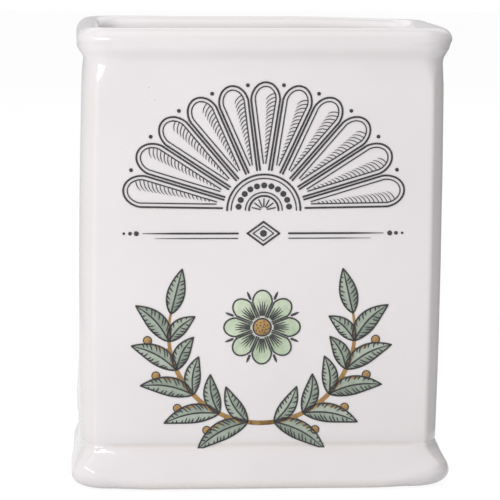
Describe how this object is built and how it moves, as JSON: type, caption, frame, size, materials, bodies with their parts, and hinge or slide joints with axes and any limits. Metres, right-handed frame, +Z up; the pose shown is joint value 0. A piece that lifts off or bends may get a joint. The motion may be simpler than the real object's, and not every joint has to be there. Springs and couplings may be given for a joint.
{
  "type": "open ceramic canister",
  "caption": "Open-topped glazed ceramic canister in the form of an oil tin, with a rolled rim, rounded corners and a flared plinth on felt pads; holds a tin, a bottle or utensils upright.",
  "frame": {"origin": "on the table, under the middle of the vessel", "axes": "+Z up through the mouth; the decorated front faces -Y and the width runs along X"},
  "size_m": [0.1234, 0.0794, 0.15],
  "materials": {
    "white_glaze": "glossy white glaze with a faint warm grey tone, pooled a little darker in the groove over the plinth",
    "bare_clay": "unglazed, matt, fine-grained fired clay of the foot ring",
    "print_line": "charcoal fired transfer print under a thin gloss",
    "print_leaf": "sage and olive green fired transfer print under a thin gloss",
    "print_twig": "ochre brown fired transfer print under a thin gloss",
    "pad_felt": "pressed felt"
  },
  "bodies": {
    "root": {"vessel": "white_glaze", "foot_pad_front_left": "pad_felt", "foot_pad_front_right": "pad_felt", "foot_pad_back_left": "pad_felt", "foot_pad_back_right": "pad_felt"}
  },
  "joints": []
}
